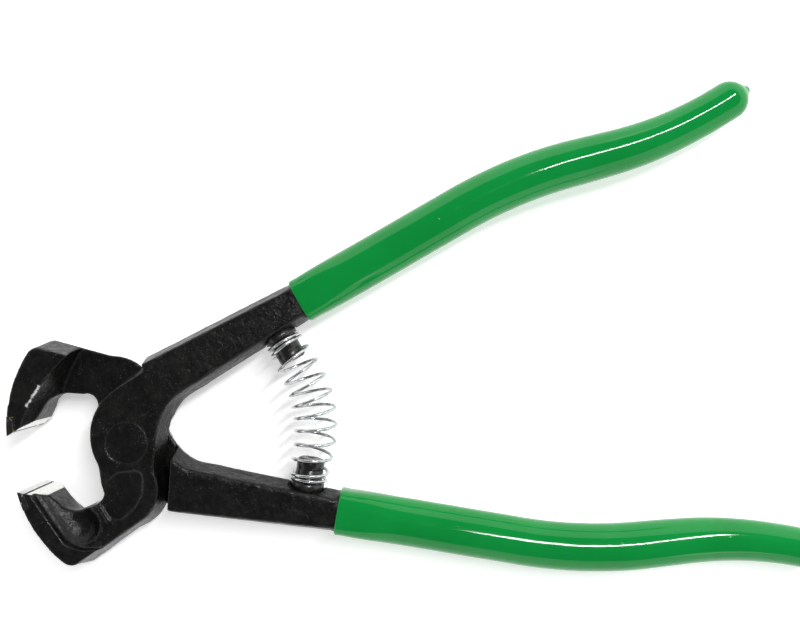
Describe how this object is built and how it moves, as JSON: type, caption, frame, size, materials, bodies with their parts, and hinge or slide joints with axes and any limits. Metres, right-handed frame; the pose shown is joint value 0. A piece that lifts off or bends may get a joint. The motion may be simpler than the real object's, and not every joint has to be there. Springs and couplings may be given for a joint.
{
  "type": "tile nipper",
  "caption": "Hand nipper with two crossed forged levers on a rivet, carbide cutting edges, a return spring between the arms and dipped green grips.",
  "frame": {"origin": "pivot axis at the lap plane between the two levers, at the middle of the tool's thickness", "axes": "+X towards the handles along the tool's centre line, +Y towards the front lever's handle, +Z along the pivot axis towards the front lever's outer face"},
  "size_m": [0.1938, 0.1226, 0.017],
  "materials": {
    "black_paint": "semi-gloss black paint on a pebbled forging",
    "black_paint_ground": "black paint over ground or turned steel",
    "carbide": "ground tungsten carbide, dark grey",
    "braze": "brazing brass, as flowed",
    "zinc_wire": "bright zinc-plated spring wire",
    "green_vinyl": "glossy dipped soft vinyl"
  },
  "bodies": {
    "rear": {"rear_lever": "black_paint", "pivot_rivet": "black_paint_ground", "rear_carbide": "carbide", "rear_braze": "braze", "rear_peg": "black_paint_ground", "rear_grip": "green_vinyl", "return_spring": "zinc_wire"},
    "front": {"front_lever": "black_paint", "front_carbide": "carbide", "front_braze": "braze", "front_peg": "black_paint_ground", "front_grip": "green_vinyl"}
  },
  "joints": [
    {"name": "pivot", "type": "hinge", "parent": "rear", "child": "front", "pos_m": [0, 0, 0], "axis": [0, 0, 1], "range_deg": [-28, 3], "stiffness_Nm_per_rad": 1, "deforming": ["return_spring"]}
  ]
}
